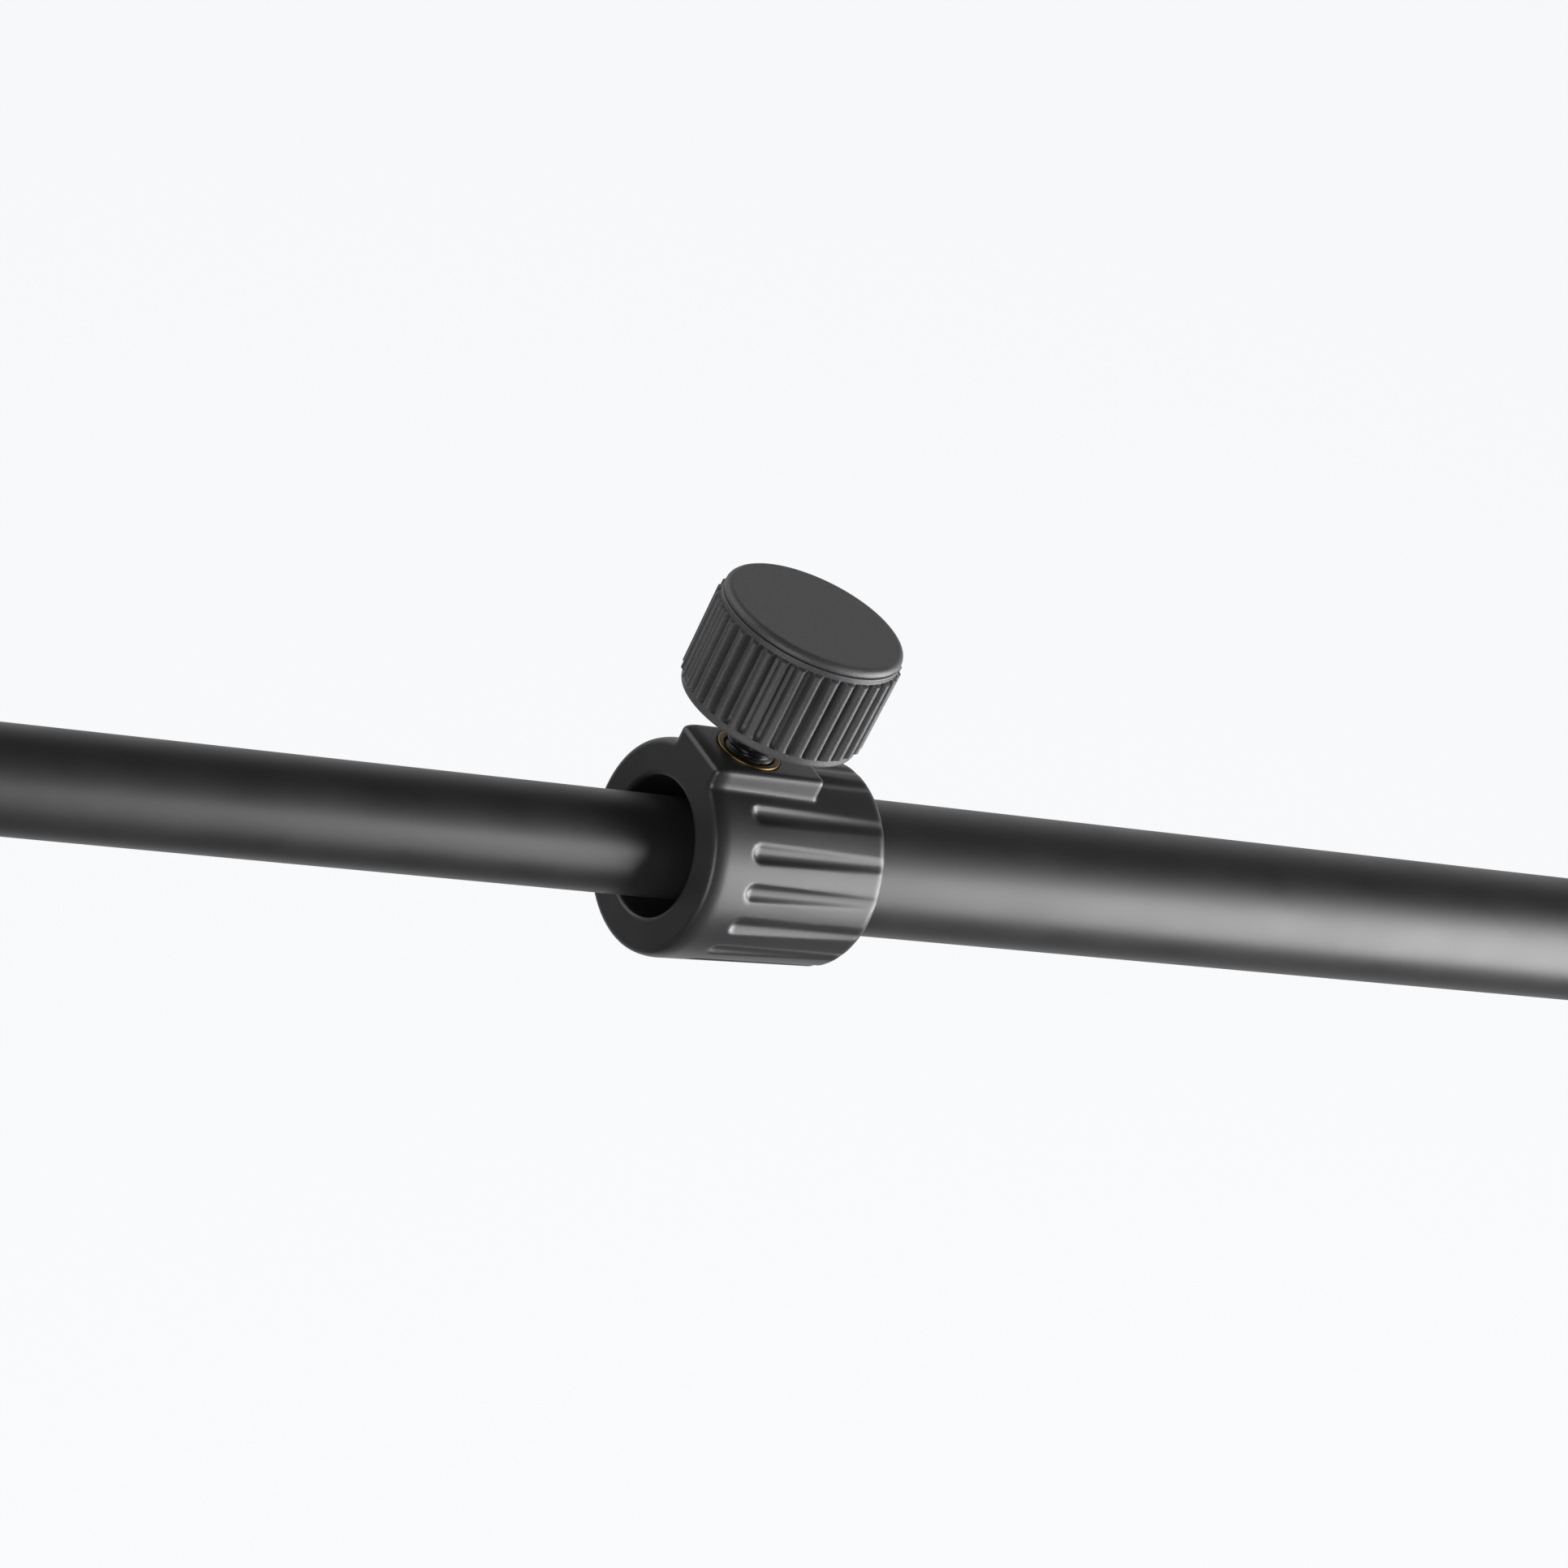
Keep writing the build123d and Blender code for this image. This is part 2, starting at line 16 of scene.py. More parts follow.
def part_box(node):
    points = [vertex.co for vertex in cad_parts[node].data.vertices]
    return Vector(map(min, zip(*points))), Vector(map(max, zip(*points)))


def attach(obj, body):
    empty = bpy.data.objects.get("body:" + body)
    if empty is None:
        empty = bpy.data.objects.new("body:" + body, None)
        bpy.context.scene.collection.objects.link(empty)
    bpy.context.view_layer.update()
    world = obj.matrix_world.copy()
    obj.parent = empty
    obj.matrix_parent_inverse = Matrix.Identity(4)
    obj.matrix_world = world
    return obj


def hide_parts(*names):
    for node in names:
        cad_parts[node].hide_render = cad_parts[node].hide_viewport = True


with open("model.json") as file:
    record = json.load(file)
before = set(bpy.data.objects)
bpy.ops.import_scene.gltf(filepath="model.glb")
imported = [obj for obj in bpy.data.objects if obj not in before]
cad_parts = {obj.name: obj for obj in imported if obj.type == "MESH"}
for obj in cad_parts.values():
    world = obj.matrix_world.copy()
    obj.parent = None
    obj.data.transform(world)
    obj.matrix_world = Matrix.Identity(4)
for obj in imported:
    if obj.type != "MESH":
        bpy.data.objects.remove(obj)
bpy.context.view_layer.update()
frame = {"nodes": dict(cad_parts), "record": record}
joints = {joint["name"]: joint for joint in frame["record"]["behaviour"]["joints"]}
bodies = frame["record"]["behaviour"]["bodies"]
SLOTS = {part["node"]: part["material_slot"] for part in frame["record"]["subparts"]}
MM = 0.001

# ---- sizes, mm ------------------------------------------------------------------------------------
COLLAR_WALL, COLLAR_LENGTH, COLLAR_DRAFT = 6.1, 33.8, 0.7
BOSS_RISE, BOSS_HALF_WIDTH, BOSS_LENGTH = 8.1, 6.5, 20.6
SCREW_AT, INSERT_R = 9.0, 5.2
GROOVE_R, GROOVE_DEPTH, GROOVE_START = 1.9, 0.88, 6.8
GROOVE_FIRST, GROOVE_STEP, GROOVES_A_SIDE = 34.5, 21.0, 7
GROOVES_BEHIND = (-7.45, 7.45)
LEAD, LEAD_DROP = 2.7, 1.1
YOKE_LENGTH = 46.0
STUD_R, THREAD_PITCH, THREAD_DEPTH = 4.0, 1.25, 0.55
KNOB_HEIGHT, KNOB_TOP_R, FLUTES = 16.6, 14.8, 34
KNOB_GAP, TILT_KNOB_GAP = 7.2, 2.3
CAP_HEIGHT, CAP_ROUND = 1.4, 1.3
PIVOT_TO_ARM, EAR_R, TONGUE_HALF, CHEEK_THICK = 40.0, 14.0, 6.0, 6.0
FINE, COARSE = 0.4, 0.6  # mesh steps of moulded pieces

# Camera directions in the arm clamp's own axes (s, w, k); the spot is right, up and back from its face
CAMERA_LENS = 103.97
CAMERA_BACK = (0.60011, 0.67881, 0.42318)
CAMERA_RIGHT = (-0.79471, 0.44565, 0.41211)
CAMERA_SPOT = (20.454, 9.48, 696.7)
BACKDROP = (0.939, 0.947, 0.965)
BACK_WALL = (0.35, 0.85, -0.6)
FLOOR_GLOW, ROOM_GLOW = 0.97, (0.04, 0.95)


# ---- places, from the frame -----------------------------------------------------------------------
class Place:
    """A clamp's own axes: an origin in metres and unit vectors s, w, k. Shapes in it are in mm."""

    def __init__(self, origin, s, k):
        self.origin, self.s, self.k = Vector(origin), Vector(s).normalized(), Vector(k).normalized()
        self.w = self.k.cross(self.s)

    def moved(self, s=0.0, k=0.0):
        return Place(self.origin + (self.s * s + self.k * k) * MM, self.s, self.k)

    def to_world(self, points):
        axes = np.array([self.s, self.w, self.k])
        return np.array(self.origin) + MM * points @ axes

    def span(self, node):
        """How far a CAD node reaches along k, in mm from this origin."""
        along = [(v.co - self.origin).dot(self.k) / MM for v in frame["nodes"][node].data.vertices]
        return min(along), max(along)


def tube_radius(node):
    low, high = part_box(node)
    return (high[1] - low[1]) / 2 / MM


def screw_place(prefix, along):
    """Origin on the boss's top in the screw's axis."""
    turn = joints[f"{prefix}_knob_turn"]
    return Place(turn["pos_m"], along, turn["axis"])


def axis_of(joint):
    return Vector(joints[joint]["axis"])


SCREWS = {
    "column": screw_place("column", axis_of("riser_1_slide")),
    "riser": screw_place("riser", axis_of("riser_2_slide")),
    "yoke": screw_place("yoke", axis_of("arm_slide")),
    "arm": screw_place("arm", axis_of("boom_slide")),
    "pan": screw_place("pan", (0, 0, 1)),
    "tilt": screw_place("tilt", axis_of("arm_slide")),
}
BORES = {
    "column": tube_radius("column_tube"),
    "riser": tube_radius("riser_1_tube"),
    "yoke": tube_radius("arm_liner") - 2 + 0.06,
    "arm": tube_radius("arm_outer_tube"),
}
COLLARS = {name: SCREWS[name].moved(s=SCREW_AT, k=-bore - BOSS_RISE) for name, bore in BORES.items()}


def body_with(node):
    return next(body for body, nodes in bodies.items() if node in nodes)


# ---- mesh making ----------------------------------------------------------------------------------
def new_piece(name, points, faces, place, material, stands_for=None, body=None):
    """Mesh object from points in a place's mm, riding on the body of the node it stands for."""
    mesh = bpy.data.meshes.new(name)
    world = place.to_world(np.asarray(points, float))
    faces = faces.tolist() if isinstance(faces, np.ndarray) else faces
    mesh.from_pydata(world.tolist(), [], faces)
    mesh.polygons.foreach_set("use_smooth", [True] * len(mesh.polygons))
    mesh.materials.append(material)
    mesh.validate()
    piece = bpy.data.objects.new(name, mesh)
    bpy.context.scene.collection.objects.link(piece)
    if stands_for:
        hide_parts(stands_for)
        body = body_with(stands_for)
    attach(piece, body)
    return piece


def turned(outline, columns, radius=None):
    """Closed surface of revolution about k. The outline is (radius, height) pairs from axis to axis, or
    a closed loop if it never meets the axis; radius(r, height, angle) may flute or thread it."""
    outline = np.asarray(outline, float)
    solid = outline[0, 0] == 0
    rows = outline[1:-1] if solid else outline
    angle = np.linspace(0, 2 * pi, columns, endpoint=False)
    r, height, turn = rows[:, :1], rows[:, 1:], angle[None, :]
    spread = radius(r, height, turn) if radius else r * np.ones_like(turn)
    points = np.stack([spread * np.cos(turn), spread * np.sin(turn), height * np.ones_like(turn)], -1)
    points = points.reshape(-1, 3)
    row, column = np.meshgrid(np.arange(len(rows) - solid), np.arange(columns), indexing="ij")
    after, below = (column + 1) % columns, (row + 1) % len(rows)
    faces = np.stack([row * columns + column, row * columns + after, below * columns + after,
                      below * columns + column], -1).reshape(-1, 4).tolist()
    if solid:
        first, last = len(points), len(points) + 1
        points = np.vstack([points, [0, 0, outline[0, 1]], [0, 0, outline[-1, 1]]])
        end = (len(rows) - 1) * columns
        for c in range(columns):
            d = (c + 1) % columns
            faces.append([first, d, c])
            faces.append([last, end + c, end + d])
    return points, faces


def isosurface(field, low, high, step):
    """Closed quad mesh of field(s, w, k) = 0, pulled onto the exact surface."""
    grid = np.meshgrid(*[np.arange(a, b + step, step) for a, b in zip(low, high)], indexing="ij")
    value = field(*grid)
    inside = value < 0
    size = np.array(value.shape) - 1
    total, weight = np.zeros((*size, 3)), np.zeros(size)
    corner = np.stack(grid, -1)
    for axis in range(3):
        others = [a for a in range(3) if a != axis]
        for p in (0, 1):
            for q in (0, 1):
                a = [slice(None)] * 3
                a[axis] = slice(0, -1)
                for o, shift in zip(others, (p, q)):
                    a[o] = slice(shift, shift + size[o])
                b = list(a)
                b[axis] = slice(1, None)
                a, b = tuple(a), tuple(b)
                crossed = inside[a] != inside[b]
                t = np.where(crossed, value[a] / np.where(crossed, value[a] - value[b], 1), 0)
                total += crossed[..., None] * (corner[a] + t[..., None] * (corner[b] - corner[a]))
                weight += crossed
    cells = weight > 0
    index = np.full(size, -1)
    index[cells] = np.arange(cells.sum())
    points = total[cells] / weight[cells][:, None]
    faces = []
    for axis in range(3):
        others = [(axis + 1) % 3, (axis + 2) % 3]
        a = [slice(1, -1)] * 3
        a[axis] = slice(0, -1)
        b = list(a)
        b[axis] = slice(1, None)
        crossed = inside[tuple(a)] != inside[tuple(b)]
        leaving = inside[tuple(a)][crossed]
        base = np.argwhere(crossed) + [0 if i == axis else 1 for i in range(3)]
        ring = []
        for p, q in ((1, 1), (0, 1), (0, 0), (1, 0)):
            shift = np.zeros(3, int)
            shift[others[0]], shift[others[1]] = p, q
            ring.append(index[tuple((base - shift).T)])
        ring = np.stack(ring, -1)
        faces.append(np.where(leaving[:, None], ring, ring[:, ::-1]))
    nudge = 0.02 * step
    for _ in range(4):
        here = field(*points.T)
        slope = np.stack([(field(*(points + d).T) - field(*(points - d).T)) / (2 * nudge)
                          for d in np.eye(3) * nudge], -1)
        move = -here[:, None] * slope / np.maximum((slope**2).sum(1), 0.2)[:, None]
        points = points + np.clip(move, -step / 2, step / 2)
    return points, np.vstack(faces)


# Distance fields, mm: negative inside
def joined(a, b, fillet):
    """Union with a fillet."""
    h = np.clip(0.5 + (b - a) / (2 * fillet), 0, 1)
    return b + (a - b) * h - fillet * h * (1 - h)


def cut(a, b, fillet):
    """a without b, with a rounded lip."""
    return -joined(-a, b, fillet)


def prism(section, along, low, high, round_low, round_high):
    """A section's field carried from low to high, with rounded ends."""
    middle, half = (low + high) / 2, (high - low) / 2
    edge = np.where(along > middle, round_high, round_low)
    q, p = section + edge, np.abs(along - middle) - half + edge
    return np.minimum(np.maximum(q, p), 0) + np.hypot(np.maximum(q, 0), np.maximum(p, 0)) - edge


def corner(a, b, edge):
    """Where both fields are negative, with the corner between them rounded."""
    a, b = a + edge, b + edge
    return np.minimum(np.maximum(a, b), 0) + np.hypot(np.maximum(a, 0), np.maximum(b, 0)) - edge


# ---- moulded and cast shapes ----------------------------------------------------------------------
def collar_field(bore, length):
    """Grooved collar with the screw's boss; its open face is at s = 0, with a long soft lead into it. The
    grooves' floors run level, and the wall tapers down to them."""
    outer = bore + COLLAR_WALL
    turns = [side * (GROOVE_FIRST + i * GROOVE_STEP) for side in (1, -1) for i in range(GROOVES_A_SIDE)]
    grooves = [(np.radians(turn), -GROOVE_START) for turn in turns]
    grooves += [(np.radians(turn), -BOSS_LENGTH - 1.2) for turn in GROOVES_BEHIND]
    seat = outer - GROOVE_DEPTH + GROOVE_R

    def field(s, w, k):
        r = np.hypot(w, k)
        wall = outer - COLLAR_DRAFT * np.clip(-s - LEAD, 0, length) / length
        lead = LEAD_DROP * (1 - np.sqrt(1 - (0.95 * np.clip(1 + s / LEAD, 0, 1)) ** 2))
        ring = r - wall
        boss = np.maximum(corner(np.abs(w) - BOSS_HALF_WIDTH, k - bore - BOSS_RISE, 0.9), -k)
        plain = prism(ring + lead, s, -length, 0, 1.8, 0.45)
        bossed = prism(joined(ring, boss, 0.7) + lead, s, -BOSS_LENGTH, 0, 1.0, 0.45)
        shape = np.minimum(plain, bossed)
        for turn, start in grooves:
            past_end = np.maximum(s - start + GROOVE_R, 0)
            off = np.hypot(w - seat * np.sin(turn), k - seat * np.cos(turn))
            shape = cut(shape, np.hypot(off, past_end) - GROOVE_R, 0.3)
        shape = cut(shape, r - bore, 0.7)
        return cut(shape, np.maximum(np.hypot(s + SCREW_AT, w) - INSERT_R, -k), 0.25)

    return field


def yoke_field(bore):
    """The arm's collar on two cheeks that straddle the head's tongue."""
    collar = collar_field(bore, YOKE_LENGTH)
    middle, flare, inner = -YOKE_LENGTH / 2, 3.0, TONGUE_HALF + 0.3

    def field(s, w, k):
        low = k + PIVOT_TO_ARM
        eye = np.hypot(s - middle, low)
        wide = np.abs(s - middle) - EAR_R - flare * np.clip(low, 0, PIVOT_TO_ARM) / PIVOT_TO_ARM
        web = np.maximum(np.maximum(wide, -low), low - PIVOT_TO_ARM + bore + 1)
        section = np.minimum(eye - EAR_R, web)
        cheeks = prism(section, np.abs(w), inner, inner + CHEEK_THICK, 0.8, 1.2)
        shape = joined(collar(s, w, k), cheeks, 1.6)
        shape = cut(shape, np.hypot(w, k) - bore, 0.5)
        return cut(shape, eye - STUD_R - 0.06, 0.3)

    return field


def head_field(bottom, top, screw_level):
    """Socket with a screw boss on its w side and an upright tongue; k = 0 is the tilt pivot."""
    socket_r, spigot_r, bore_above_screw = 15.0, 8.06, 22.0
    boss_half_width, boss_half_height, boss_reach = 9.0, 10.0, 18.0
    tongue_sunk = 4.0

    def field(s, w, k):
        r = np.hypot(s, w)
        socket = prism(r - socket_r, k, bottom, top, 1.2, 1.5)
        boss = corner(np.abs(s) - boss_half_width, np.abs(k - screw_level) - boss_half_height, 3.0)
        boss = prism(boss, w, 0, boss_reach, 1.0, 1.0)
        below_eye = np.maximum(np.abs(s) - EAR_R, np.maximum(k, top - tongue_sunk - k))
        section = np.minimum(np.hypot(s, k) - EAR_R, below_eye)
        tongue = prism(section, w, -TONGUE_HALF, TONGUE_HALF, 0.8, 0.8)
        shape = joined(joined(socket, boss, 2.0), tongue, 1.2)
        shape = cut(shape, np.maximum(r - spigot_r, k - screw_level - bore_above_screw), 0.4)
        shape = cut(shape, np.maximum(np.hypot(s, k - screw_level) - INSERT_R, -w), 0.25)
        return cut(shape, np.hypot(s, k) - STUD_R - 0.06, 0.3)

    return field


def ring_field():
    """Leg ring round the column (k) with the leg's socket along s."""
    ring_r, half_height, socket_r, leg_r, column_r = 24.0, 18.0, 16.0, 12.5, BORES["column"] + 0.05
    socket_from, socket_to = 26.0, 52.0

    def field(s, w, k):
        r = np.hypot(s, w)
        across = np.hypot(w, k)
        ring = prism(r - ring_r, k, -half_height, half_height, 1.5, 1.5)
        socket = prism(across - socket_r, s, 0, socket_to, 1.0, 1.6)
        shape = joined(ring, socket, 3.0)
        shape = np.maximum(shape, np.abs(k) - half_height)
        shape = cut(shape, r - column_r, 0.5)
        return cut(shape, np.maximum(across - leg_r, socket_from - s), 0.5)

    return field


def stop_field(height):
    """Steel collar over the leg rings, with a screw hole towards s; k = 0 is its underside."""
    ring_r, screw_r, column_r = 24.0, 3.2, BORES["column"] + 0.05

    def field(s, w, k):
        r = np.hypot(s, w)
        shape = prism(r - ring_r, k, 0, height, 1.0, 1.8)
        shape = cut(shape, r - column_r, 0.4)
        return cut(shape, np.maximum(np.hypot(w, k - height / 2) - screw_r, -s), 0.25)

    return field


def hexagon(s, w, half):
    """Field of a hexagon, half as wide as it is across its flats."""
    turns = (0, pi / 3, 2 * pi / 3)
    return np.max([np.abs(s * np.cos(turn) + w * np.sin(turn)) - half for turn in turns], axis=0)


def socket_screw_field(head_r, head_height, shank_r, shank_length, hexagon_half):
    """Screw with a domed head and a hexagon socket; k = 0 is under its head."""

    def field(s, w, k):
        r = np.hypot(s, w)
        head = prism(r - head_r, k, 0, head_height, 0.2, 1.3)
        shape = np.minimum(head, prism(r - shank_r, k, -shank_length, 0.5, 0.3, 0.1))
        return cut(shape, np.maximum(hexagon(s, w, hexagon_half), head_height - 1.6 - k), 0.12)

    return field


# ---- turned shapes --------------------------------------------------------------------------------
def outline_of(corners, closed=False):
    """Outline through (radius, height, rounding) corners, with points close beside each arc."""
    spots = [np.array(corner[:2], float) for corner in corners]
    path = []
    for i, (spot, (_, _, rounding)) in enumerate(zip(spots, corners)):
        if not rounding or (not closed and i in (0, len(spots) - 1)):
            path.append(spot)
            continue
        sides = [spots[i - 1] - spot, spots[(i + 1) % len(spots)] - spot]
        lengths = [np.linalg.norm(side) for side in sides]
        ways = [side / length for side, length in zip(sides, lengths)]
        half = np.arccos(np.clip(ways[0] @ ways[1], -1, 1)) / 2
        reach = rounding / np.tan(half)
        middle = ways[0] + ways[1]
        centre = spot + middle / np.linalg.norm(middle) * rounding / np.sin(half)
        start, end = spot + ways[0] * reach, spot + ways[1] * reach
        beside = min(0.25, 0.4 * (lengths[0] - reach), 0.4 * (lengths[1] - reach))
        path.append(start + ways[0] * beside)
        for t in np.linspace(0, 1, 7):
            spoke = (start - centre) * (1 - t) + (end - centre) * t
            path.append(centre + spoke / np.linalg.norm(spoke) * rounding)
        path.append(end + ways[1] * beside)
    return path


def turned_piece(node, place, corners, material, columns=96, closed=False, radius=None):
    points, faces = turned(outline_of(corners, closed), columns, radius)
    piece = new_piece(f"{node}_finished", points, faces, place, material, node)
    piece.data.set_sharp_from_angle(angle=np.radians(40))
    return piece


def smooth_step(value, start, end):
    t = np.clip((value - start) / (end - start), 0, 1)
    return t * t * (3 - 2 * t)


def thread(radius, low, high, pitch=THREAD_PITCH, depth=THREAD_DEPTH):
    """Turns a shank into a thread between two heights, fading in and out over a turn."""

    def cut_thread(r, height, turn):
        phase = (height / pitch - turn / (2 * pi)) % 1
        groove = np.clip(1.25 * (1 - np.abs(2 * phase - 1)) - 0.15, 0, 1)
        there = smooth_step(height, low, low + pitch) * (1 - smooth_step(height, high - pitch, high))
        return r - depth * groove * there * (np.abs(r - radius) < 0.01)

    return cut_thread


def threaded_corners(radius, low, high, step):
    """Corners along a shank, close enough together to carry its thread."""
    return [(radius, height, 0) for height in np.arange(low, high, step)]


def knob(prefix, gap, columns_a_flute):
    """Fluted knob over a smooth foot ring, hollow underneath, and its cap over a fine parting line."""
    place = SCREWS[prefix]
    foot, top = gap, gap + KNOB_HEIGHT
    ring_r, floor_r, proud, ridge_half = 14.62, 13.65, 0.6, 0.34
    flute_low, flute_high, flute_end = 1.5, KNOB_HEIGHT - 1.0, 1.1

    def fluted(r, height, turn):
        rise = height - foot
        phase = (turn * FLUTES / (2 * pi) + 0.25) % 1
        ridge = np.clip(1 - (np.abs(phase - 0.5) / ridge_half) ** 2.4, 0, 1) ** (1 / 2.4)
        inside = np.minimum(rise - flute_low, flute_high - rise)
        rounded = np.clip(inside / flute_end, 0, 1)
        groove = (r - floor_r) * np.sqrt(1 - (1 - rounded) ** 2)
        stand = proud * smooth_step(inside, -0.05, 0.2)
        return np.where(r > floor_r + 0.3, r + ridge * stand - (1 - ridge) * groove, r)

    heights = np.concatenate([np.linspace(1.3, 3.0, 13), np.linspace(4.0, 14.0, 6),
                              np.linspace(14.3, KNOB_HEIGHT - 0.7, 13)])
    side = [(ring_r + (KNOB_TOP_R - ring_r) * h / KNOB_HEIGHT, foot + h, 0) for h in heights]
    corners = [
        (0, foot + 12, 0),
        (STUD_R + 0.06, foot + 12, 0),
        (STUD_R + 0.06, foot, 0.4),
        (6.5, foot, 0.4),
        (7, foot + 3, 0.5),
        (11.5, foot + 3, 0.5),
        (12, foot, 0.4),
        (ring_r, foot, 0.55),
        (ring_r, foot + 0.7, 0),
        *side,
        (KNOB_TOP_R, top - 0.05, 0.15),
        (0, top - 0.05, 0),
    ]
    turned_piece(f"{prefix}_knob", place, corners, MATERIALS["knob_plastic"], FLUTES * columns_a_flute,
                 radius=fluted)
    cap = [
        (0, top, 0),
        (KNOB_TOP_R - 0.35, top, 0),
        (KNOB_TOP_R - 0.35, top + 0.12, 0),
        (KNOB_TOP_R, top + 0.2, 0.08),
        (KNOB_TOP_R - 0.05, top + CAP_HEIGHT, CAP_ROUND - 0.25),
        (0, top + CAP_HEIGHT, 0),
    ]
    turned_piece(f"{prefix}_knob_cap", place, cap, MATERIALS["knob_plastic"], 192)


def insert(prefix):
    """Brass insert with a rounded rim and a chamfer down into its bore."""
    place = SCREWS[prefix]
    low, high = place.span(f"{prefix}_insert")
    corners = [
        (INSERT_R, low, 0),
        (INSERT_R, high, 0.3),
        (STUD_R + 0.45, high, 0.15),
        (STUD_R + 0.06, high - 0.5, 0),
        (STUD_R + 0.06, low, 0),
    ]
    turned_piece(f"{prefix}_insert", place, corners, MATERIALS["insert_brass"], closed=True)


def stud(prefix):
    place = SCREWS[prefix]
    low, high = place.span(f"{prefix}_stud")
    corners = [
        (0, low, 0),
        (STUD_R - 0.7, low, 0.2),
        *threaded_corners(STUD_R, low + 0.7, high, 0.16),
        (STUD_R, high, 0),
        (0, high, 0),
    ]
    turned_piece(f"{prefix}_stud", place, corners, MATERIALS["stud_black_and_shade"], 48,
                 radius=thread(STUD_R, low + 1.5, high))


def tube_place(clamp):
    """The clamp's tube axis as the turning axis."""
    place = COLLARS[clamp]
    return Place(place.origin, place.k, place.s)


def tube(node, clamp):
    place, wall = tube_place(clamp), 1.5
    low, high = place.span(node)
    outer = tube_radius(node)
    corners = [
        (outer, low, 0.5),
        (outer, high, 0.5),
        (outer - wall, high, 0.3),
        (outer - wall, low, 0.3),
    ]
    turned_piece(node, place, corners, MATERIALS["tube_paint"], 192, closed=True)


def moulded(node, place, field, low, high, step, material):
    points, faces = isosurface(field, low, high, step)
    return new_piece(f"{node}_finished", points, faces, place, MATERIALS[material], node)


def collar(clamp, step):
    bore = BORES[clamp]
    reach = bore + COLLAR_WALL + 1.5
    field = collar_field(bore, COLLAR_LENGTH)
    low, high = (-COLLAR_LENGTH - 1, -reach, -reach), (1, reach, bore + BOSS_RISE + 1)
    moulded(f"{clamp}_collar", COLLARS[clamp], field, low, high, step, "collar_plastic")


def grip_head():
    pivot = Vector(joints["arm_tilt"]["pos_m"])
    head = Place(pivot, (1, 0, 0), (0, 0, 1))
    bottom = head.span("head_base")[0]
    screw_level = (Vector(joints["pan_knob_turn"]["pos_m"]) - pivot).z / MM
    low, high = (-EAR_R - 3, -EAR_R - 3, bottom - 1), (EAR_R + 3, 19.5, EAR_R + 1)
    field = head_field(bottom, -EAR_R - 3, screw_level)
    moulded("head_base", head, field, low, high, COARSE, "tube_paint")

    bore = BORES["yoke"]
    reach = bore + COLLAR_WALL + 1.5
    low = (-YOKE_LENGTH - 1, -reach, -PIVOT_TO_ARM - EAR_R - 1)
    moulded("arm_yoke", COLLARS["yoke"], yoke_field(bore), low, (1, reach, bore + BOSS_RISE + 1), COARSE,
            "collar_plastic")

    place = SCREWS["tilt"]
    low, high = place.span("tilt_washer")
    washer = [(8, low, 0.3), (8, high, 0.4), (STUD_R + 0.06, high, 0.2), (STUD_R + 0.06, low, 0.2)]
    turned_piece("tilt_washer", place, washer, MATERIALS["screw_steel"], closed=True)

    low, high = place.span("tilt_nut")
    flats = 6.5

    def six_sided(r, _, turn):
        side = flats / np.cos((turn + pi / 6) % (pi / 3) - pi / 6)
        return np.where(r > flats, np.minimum(r, side), r)

    nut = [
        (STUD_R + 0.06, low, 0),
        (flats, low, 0),
        (flats / np.cos(pi / 6), low + 0.7, 0),
        (flats / np.cos(pi / 6), high - 0.4, 0),
        (flats + 0.2, high, 0),
        (STUD_R + 0.06, high, 0.3),
    ]
    turned_piece("tilt_nut", place, nut, MATERIALS["screw_steel"], 180, closed=True, radius=six_sided)


